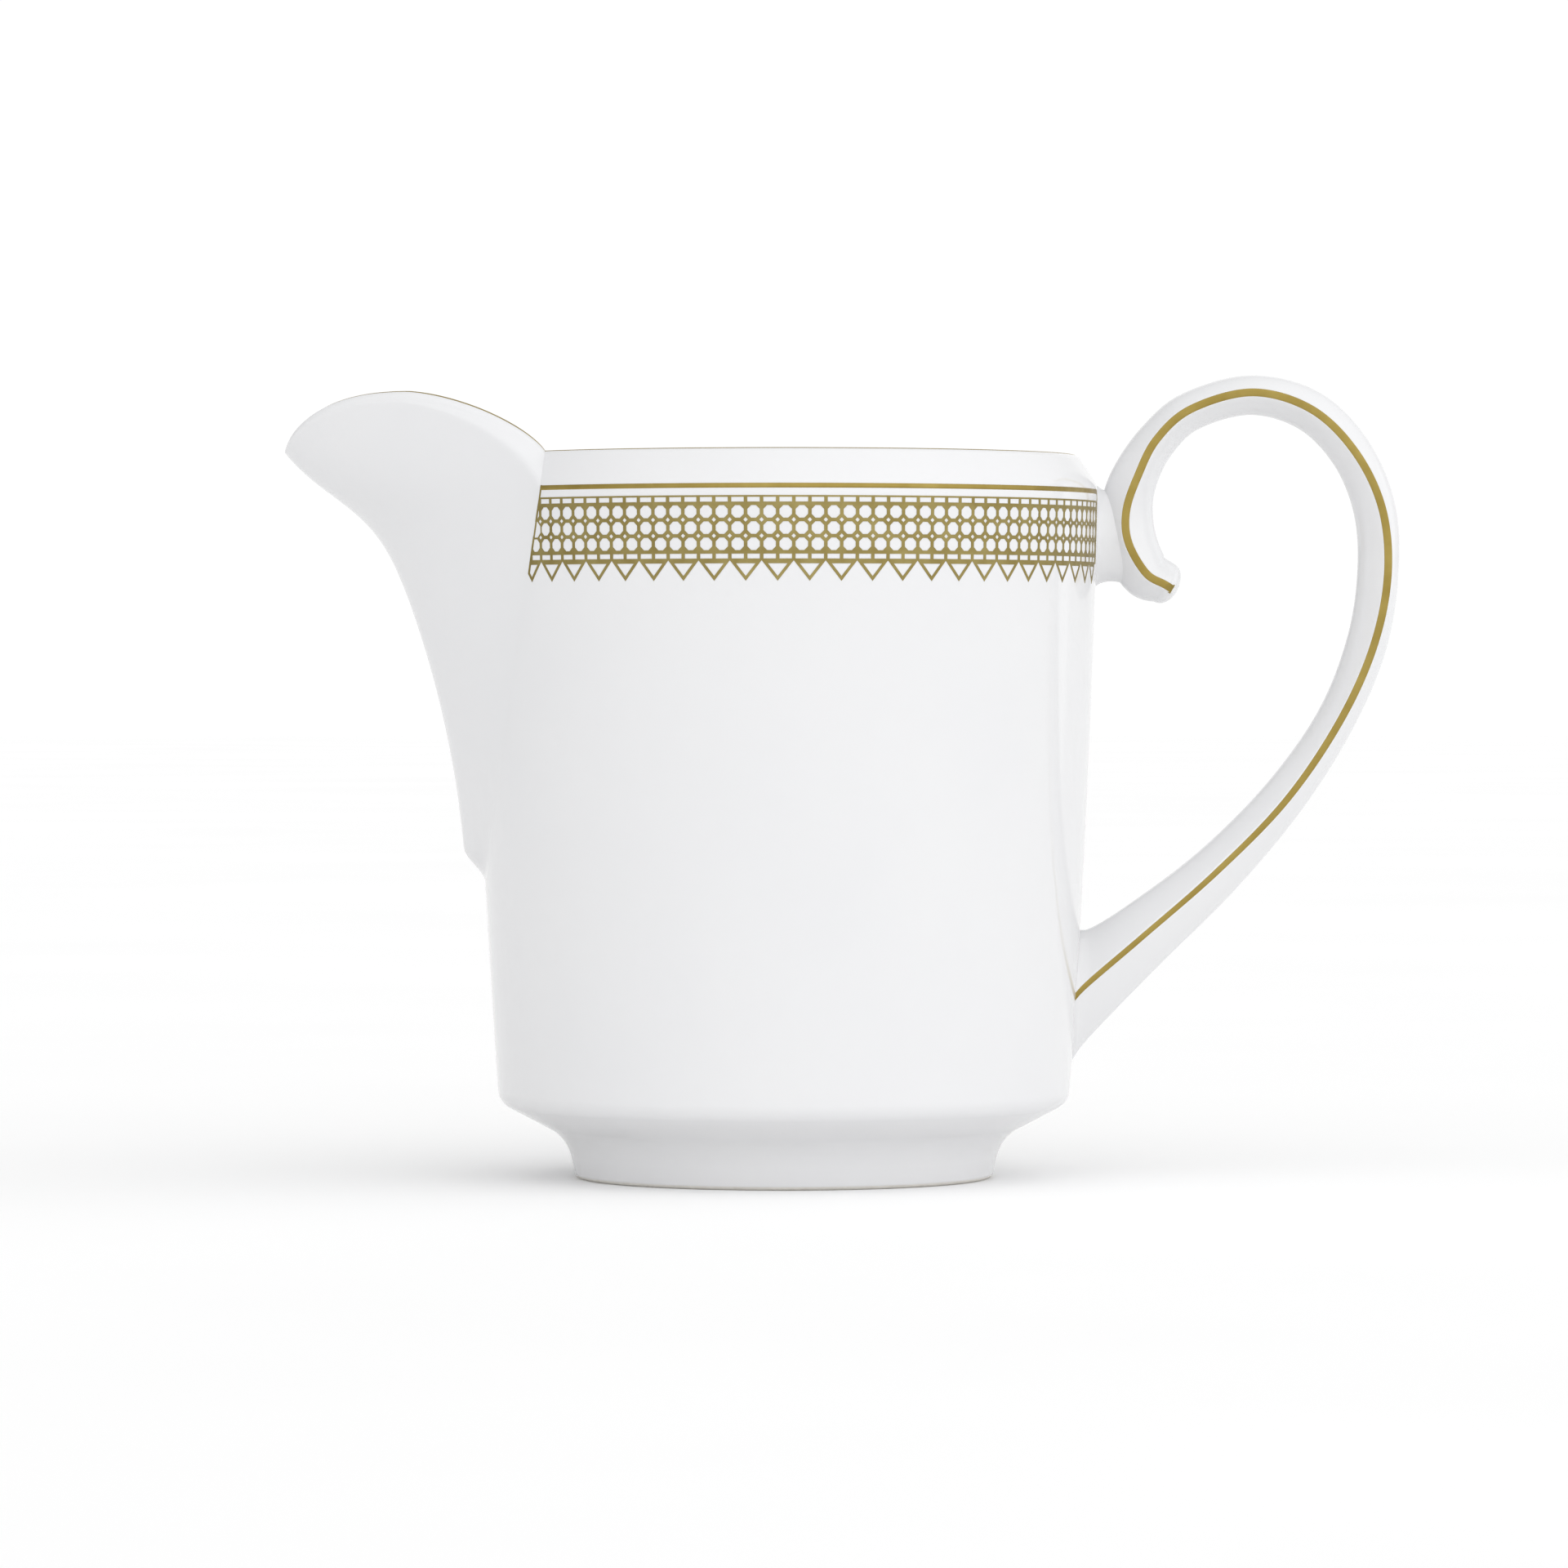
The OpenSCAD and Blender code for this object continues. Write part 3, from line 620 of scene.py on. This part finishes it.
filmRadius, filmAngle = edgeFilm()
rimStart = math.acos(-seamX(jug["rimHeight"]) / rimCentre[0])
rimTurn = (rimStart + (2 * np.pi - 2 * rimStart) * np.arange(361) / 360)[:, None]
rimR = rimCentre[0] + (filmRadius * np.cos(filmAngle))[None, :]
rimZ = rimCentre[1] + (filmRadius * np.sin(filmAngle))[None, :] + 0 * rimTurn
rimPoints = np.stack([-rimR * np.cos(rimTurn), rimR * np.sin(rimTurn), rimZ], axis=-1)
rimGilding = makePiece("rimGilding", rimPoints, gridFaces(*rimZ.shape, closeColumns=True))
handOver(rimGilding, "rim_gilding", brightGold)

vLip = v[:, None]
lipZ = edgeTop(vLip) + (filmRadius * np.sin(filmAngle))[None, :]
lipR = edgeCentre(vLip) + (filmRadius * np.cos(filmAngle))[None, :]
lipN = noseReach(edgeTop(vLip)) - rho + (filmRadius * np.cos(filmAngle))[None, :]
lx, ly, lz = levelCurve(vLip, lipZ, lipR, lipN)
lipPoints = np.stack([lx, ly * side.T, lz], axis=-1)
lipGilding = makePiece("spoutLipGilding", lipPoints, gridFaces(*lx.shape, closeColumns=True))
handOver(lipGilding, "spout_lip_gilding", brightGold)

# Ribbons on the handle's blunt ridges: w runs across the ridge and the height bows from sunk to proud
ridgeRow = np.arange(gild["tipRows"], len(strapPoints))
for name, node, sign, first, second in (("handleGildingFront", "handle_gilding_front", -1, 0, -1),
                                        ("handleGildingBack", "handle_gilding_back", 1, 2 * half, 2 * half + 1)):
    a, b = strapPoints[ridgeRow, first], strapPoints[ridgeRow, second]    # the ridge's two edges
    centre, edge = (a + b) / 2, (a - b) / 2
    edge *= gild["ridgeWidth"] / 2 / np.maximum(np.linalg.norm(edge, axis=1), 1e-9)[:, None]
    w = np.linspace(-1, 1, 9)
    bowed = gild["proud"] - (gild["proud"] + 0.1) * np.abs(w) ** 7
    lift = np.concatenate([bowed, -gild["ridgeSunk"] + 0 * w])
    wide = np.concatenate([w, w[::-1]])
    ribbon = centre[:, None, :] + edge[:, None, :] * wide[None, :, None]
    ribbon[..., 1] += sign * lift[None, :]
    piece = makePiece(name, ribbon, gridFaces(*ribbon.shape[:2], closeColumns=True))
    handOver(piece, node, brightGold)
print("edges gilded")

# Gilding on the wall: a plain line over a lace band, from the spout's seam to the handle
band = {
    "lineTop": creaseHeight - 0.4, "lineHeight": 0.6, "gap": 0.8, "laceHeight": 9.6,
    "pitch": 1.81, "latticeRows": 3,       # a cell is as wide as it is high
    "cornerCut": 0.3,                      # share of a cell's side taken off by each corner square
    "beadHeight": 0.93, "dagHeight": 2.3, "dags": 30,
    "endFromHandle": 5.8, "endFromSeam": 0.1, "closing": 0.26,
    "thick": 0.035, "sunk": 0.03, "stroke": 0.2, "dagStroke": 0.34,
    "crumb": 0.01, "leastHole": 0.02, "mostSolid": 0.4,     # square millimetres
}
laceTop = band["lineTop"] - band["lineHeight"] - band["gap"]
# Angle of the seam from the front's middle
seamAngle = lambda z: -np.arcsin(np.clip(-seamX(z) / outerRadius(z, 0.0), -1, 1))
endAngle = lambda z: np.arccos(band["endFromHandle"] / outerRadius(z, 0.0))


# From u along the wall, height z and lift to space: angle = u / belly radius and radius = outer
# radius + lift, on the front (side -1) or mirrored to the back
def ontoWall(u, z, lift, side):
    angle = u / jug["bellyRadius"]
    r = outerRadius(z, 0.0) + lift
    return np.stack([r * np.sin(angle), side * r * np.cos(angle), z + 0 * r], axis=-1)


latticeTop = laceTop - band["beadHeight"]
latticeLow = latticeTop - band["latticeRows"] * band["pitch"]
dagTop = laceTop - band["laceHeight"] + band["dagHeight"]


# A plain lattice of eight-sided cells with a square on each corner between two rows of boxes, over a
# zigzag edge: the cells of one dag's width, two pitches, in millimetres along the wall and height
def laceCells():
    p, c = band["pitch"], band["cornerCut"] * band["pitch"]
    eight = [(c, 0), (p - c, 0), (p, c), (p, p - c), (p - c, p), (c, p), (0, p - c), (0, c)]
    square = [(-c, 0), (0, -c), (c, 0), (0, c)]
    lowHalf, highHalf = [(-c, 0), (c, 0), (0, c)], [(-c, 0), (0, -c), (c, 0)]
    middle = dagTop - band["dagHeight"] / 2
    dag = [(0, dagTop), (p / 2, middle), (p, dagTop - band["dagHeight"]), (1.5 * p, middle), (2 * p, dagTop),
           (1.5 * p, dagTop), (p, dagTop), (p / 2, dagTop)]
    cells = [(np.array(dag), band["dagStroke"])]
    for u in (0, p):
        for low, high in ((latticeTop, laceTop), (dagTop, latticeLow)):
            cells.append((np.array([(u, low), (u + p, low), (u + p, high), (u, high)]), band["stroke"]))
        for row in range(band["latticeRows"]):
            corner = np.array((u, latticeLow + row * p))
            cells += [(np.array(eight) + corner, band["stroke"]),
                      (np.array(square if row else lowHalf) + corner, band["stroke"])]
        cells.append((np.array(highHalf) + (u, latticeTop), band["stroke"]))
    return cells


# Keeps the part of a convex outline where d = a x + b y + c is above nought; a side that crosses
# the line is cut at the share d / (d - next d) of its length
def clip(outline, a, b, c):
    d = outline[:, 0] * a + outline[:, 1] * b + c
    if (d >= 0).all():
        return outline
    if (d <= 0).all():
        return outline[:0]
    ahead, dNext = np.roll(outline, -1, axis=0), np.roll(d, -1)
    crosses = d * dNext < 0
    share = np.where(crosses, d / np.where(crosses, d - dNext, 1), 0)
    crossing = outline + (ahead - outline) * share[:, None]
    both = np.stack([outline, crossing], axis=1).reshape(-1, 2)
    return both[np.stack([d >= 0, crosses], axis=1).ravel()]


# Area of an outline: half the sum of x y' - x' y over its sides
def area(outline):
    nx = np.roll(outline, -1, axis=0)
    return 0.5 * float(np.sum(outline[:, 0] * nx[:, 1] - nx[:, 0] * outline[:, 1]))


# Every corner moved inwards so that each side shifts by d: p + d (n1 + n2) / (1 + n1 . n2)
def inset(outline, d):
    sideDir = np.roll(outline, -1, axis=0) - outline
    sideDir /= np.linalg.norm(sideDir, axis=1)[:, None]
    n = np.stack([-sideDir[:, 1], sideDir[:, 0]], axis=1)
    m = np.roll(n, 1, axis=0)
    return outline + d * (n + m) / (1 + np.sum(n * m, axis=1))[:, None]


# Every cell clipped to the band's two ends; a cell with room for a hole becomes a ring, a small one
# stays solid
def laceOutlines():
    low, high = laceTop - band["laceHeight"], laceTop
    leftAt = lambda z: float(seamAngle(np.array(z))) * jug["bellyRadius"] + band["endFromSeam"]
    right = float(endAngle(np.array(high))) * jug["bellyRadius"]
    lean = leftAt(low) - leftAt(high)
    a, b = np.array([high - low, lean]) / math.hypot(high - low, lean)
    c = -(a * leftAt(low) + b * low)
    rings, solids = [], []
    for k in range(-band["dags"] // 2, band["dags"] // 2):
        for cell, stroke in laceCells():
            outline = clip(cell + (2 * band["pitch"] * k, 0), a, b, c)
            if len(outline) > 2:
                outline = clip(outline, -1, 0, right)
            if len(outline) < 3 or area(outline) < band["crumb"]:
                continue
            gaps = np.linalg.norm(np.roll(outline, -1, axis=0) - outline, axis=1)
            outline = outline[np.roll(gaps, 1) > 0.02]
            if len(outline) < 3:
                continue
            hole = inset(outline, stroke)
            sides = [np.roll(edge, -1, axis=0) - edge for edge in (hole, outline)]
            turned = np.sum(sides[0] * sides[1], axis=1)
            if area(hole) >= band["leastHole"] and (turned > 0).all():
                rings.append((outline, hole))
            elif area(outline) < band["mostSolid"]:
                solids.append(outline)
    # the closing lines at both ends, in short steps down the wall
    steps = np.linspace(dagTop, band["lineTop"], 14)
    for low, high in zip(steps[:-1], steps[1:]):
        for edge, w in ((leftAt, band["closing"]), (lambda z: right, -band["closing"])):
            quad = np.array([(edge(low), low), (edge(low) + w, low),
                             (edge(high) + w, high), (edge(high), high)])
            solids.append(quad if area(quad) > 0 else quad[::-1])
    return rings, solids


laceRings, laceSolids = laceOutlines()


# Closed little frames and plates on the wall: top, walls and underside for every outline
def laceMesh(side):
    points, polygons, count = [], [], 0
    for outline, hole in laceRings:
        n = len(outline)
        loop = [outline, hole, hole, outline]
        lift = [band["thick"], band["thick"], -band["sunk"], -band["sunk"]]
        block = np.concatenate([ontoWall(o[:, 0], o[:, 1], h, side) for o, h in zip(loop, lift)])
        points.append(block)
        i, j = np.arange(n), (np.arange(n) + 1) % n
        for k in range(4):
            k2 = (k + 1) % 4
            polygons += (np.stack([k * n + i, k * n + j, k2 * n + j, k2 * n + i], axis=1) + count).tolist()
        count += len(block)
    for outline in laceSolids:
        n = len(outline)
        points.append(np.concatenate([ontoWall(outline[:, 0], outline[:, 1], band["thick"] * 0.9, side),
                                      ontoWall(outline[:, 0], outline[:, 1], -band["sunk"], side)]))
        polygons.append((count + np.arange(n)).tolist())
        polygons.append((count + n + np.arange(n)[::-1]).tolist())
        polygons += [[count + n + a, count + n + (a + 1) % n, count + (a + 1) % n, count + a] for a in range(n)]
        count += 2 * n
    return np.concatenate(points), polygons


for name, node, side in (("laceBandFront", "lace_band_front", -1), ("laceBandBack", "lace_band_back", 1)):
    lacePoints, laceFaces = laceMesh(side)
    piece = makePiece(name, lacePoints, laceFaces, fill=False, merge=False)
    piece.data.shade_flat()
    handOver(piece, node, laceGold)

# The plain line: a sleeve with a softly bowed face, from the spout's seam round to the handle
for name, node, side in (("bandLineFront", "band_line_front", -1), ("bandLineBack", "band_line_back", 1)):
    w = np.linspace(-1, 1, 7)
    lift = np.concatenate([gild["proud"] - (gild["proud"] + 0.01) * w ** 4, -gild["sunk"] + 0 * w])[None, :]
    zLine = band["lineTop"] - band["lineHeight"] / 2 * (1 - np.concatenate([w, w[::-1]]))[None, :]
    share = (np.arange(241) / 240)[:, None]
    angle = mix(seamAngle(zLine) + band["endFromSeam"] / jug["bellyRadius"], endAngle(zLine), share)
    sleeve = ontoWall(angle * jug["bellyRadius"], zLine + 0 * share, lift, side)
    piece = makePiece(name, sleeve, gridFaces(*sleeve.shape[:2], closeColumns=True))
    handOver(piece, node, brightGold)
print("wall gilded:", len(laceRings), "open cells,", len(laceSolids), "solid bits on each side")

# Floor, light and camera, in metres
studio = {
    "eye": (-0.027, -0.90, 0.0592), "aim": (0.0, 0.0, 0.0459), "lens": 177.1,
    "ambient": 1.01, "sideways": 0.29, "towards": 0.475, "upwards": 0.05, "backdrop": 1.03,
    "backdropFrom": 0.75, "backdropFull": 0.95,
    "stripPlace": (0.85, 0.53, 0.1), "stripSize": (0.16, 0.7), "strip": 0.1,
    "floorHalf": 6.0, "floorTones": ((0.94, 0.94, 0.94), (0.96, 0.96, 0.96)), "floorRough": 0.9,
}


# A flat square of pale table top at z = 0
def makeFloor():
    x = np.linspace(-studio["floorHalf"], studio["floorHalf"], 3)
    grid = np.stack(np.meshgrid(x, x, indexing="xy"), axis=-1).reshape(-1, 2)
    mesh = bpy.data.meshes.new("floor")
    mesh.from_pydata([(a, b, 0.0) for a, b in grid.tolist()], [], gridFaces(3, 3).tolist())
    floor = bpy.data.objects.new("floor", mesh)
    bpy.context.scene.collection.objects.link(floor)
    material, tree, shader = newMaterial("paleFloor")
    tone = colourBetween(tree, noiseBetween(tree, 6, 0, 1), *studio["floorTones"])
    tree.links.new(tone, shader.inputs["Base Color"])
    shader.inputs["Roughness"].default_value = studio["floorRough"]
    mesh.materials.append(material)


makeFloor()


# A soft box: a flat lamp that looks at the jug's middle
def softBox(name, place, width, height, power):
    lamp = bpy.data.lights.new(name, "AREA")
    lamp.shape, lamp.size, lamp.size_y, lamp.energy = "RECTANGLE", width, height, power
    box = bpy.data.objects.new(name, lamp)
    box.location = place
    box.rotation_euler = (Vector((0, 0, 0.05)) - Vector(place)).to_track_quat("-Z", "Y").to_euler()
    bpy.context.scene.collection.objects.link(box)


softBox("stripRight", studio["stripPlace"], *studio["stripSize"], studio["strip"])

# The room by the direction: ambient + sideways x - towards y + upwards z, and the white backdrop
# where y is high
world = bpy.data.worlds.new("room")
bpy.context.scene.world = world
world.use_nodes = True
roomTree = world.node_tree
room = next(n for n in roomTree.nodes if n.type == "BACKGROUND")
direction = addNode(roomTree, "ShaderNodeTexCoord")
slope = addNode(roomTree, "ShaderNodeVectorMath", operation="DOT_PRODUCT")
slope.inputs[1].default_value = (studio["sideways"], -studio["towards"], studio["upwards"])
level = addNode(roomTree, "ShaderNodeMath", operation="ADD")
level.inputs[1].default_value = studio["ambient"]
split = addNode(roomTree, "ShaderNodeSeparateXYZ")
behind = addNode(roomTree, "ShaderNodeMapRange", interpolation_type="SMOOTHSTEP")
behind.inputs["From Min"].default_value = studio["backdropFrom"]
behind.inputs["From Max"].default_value = studio["backdropFull"]
blend = addNode(roomTree, "ShaderNodeMix", data_type="FLOAT")
blend.inputs[3].default_value = studio["backdrop"]
roomTree.links.new(direction.outputs["Generated"], slope.inputs[0])
roomTree.links.new(direction.outputs["Generated"], split.inputs["Vector"])
roomTree.links.new(slope.outputs["Value"], level.inputs[0])
roomTree.links.new(split.outputs["Y"], behind.inputs["Value"])
roomTree.links.new(behind.outputs["Result"], blend.inputs["Factor"])
roomTree.links.new(level.outputs["Value"], blend.inputs[2])
roomTree.links.new(blend.outputs[0], room.inputs["Strength"])
room.inputs["Color"].default_value = (1, 1, 1, 1)

cameraData = bpy.data.cameras.new("camera")
camera = bpy.data.objects.new("camera", cameraData)
bpy.context.scene.collection.objects.link(camera)
cameraData.lens = studio["lens"]
cameraData.sensor_width = 36.0
cameraData.clip_start, cameraData.clip_end = 0.05, 50
camera.location = studio["eye"]
camera.rotation_euler = (Vector(studio["aim"]) - camera.location).to_track_quat("-Z", "Y").to_euler()
bpy.context.scene.camera = camera
bpy.context.scene.view_settings.view_transform = "Standard"
print("studio made")
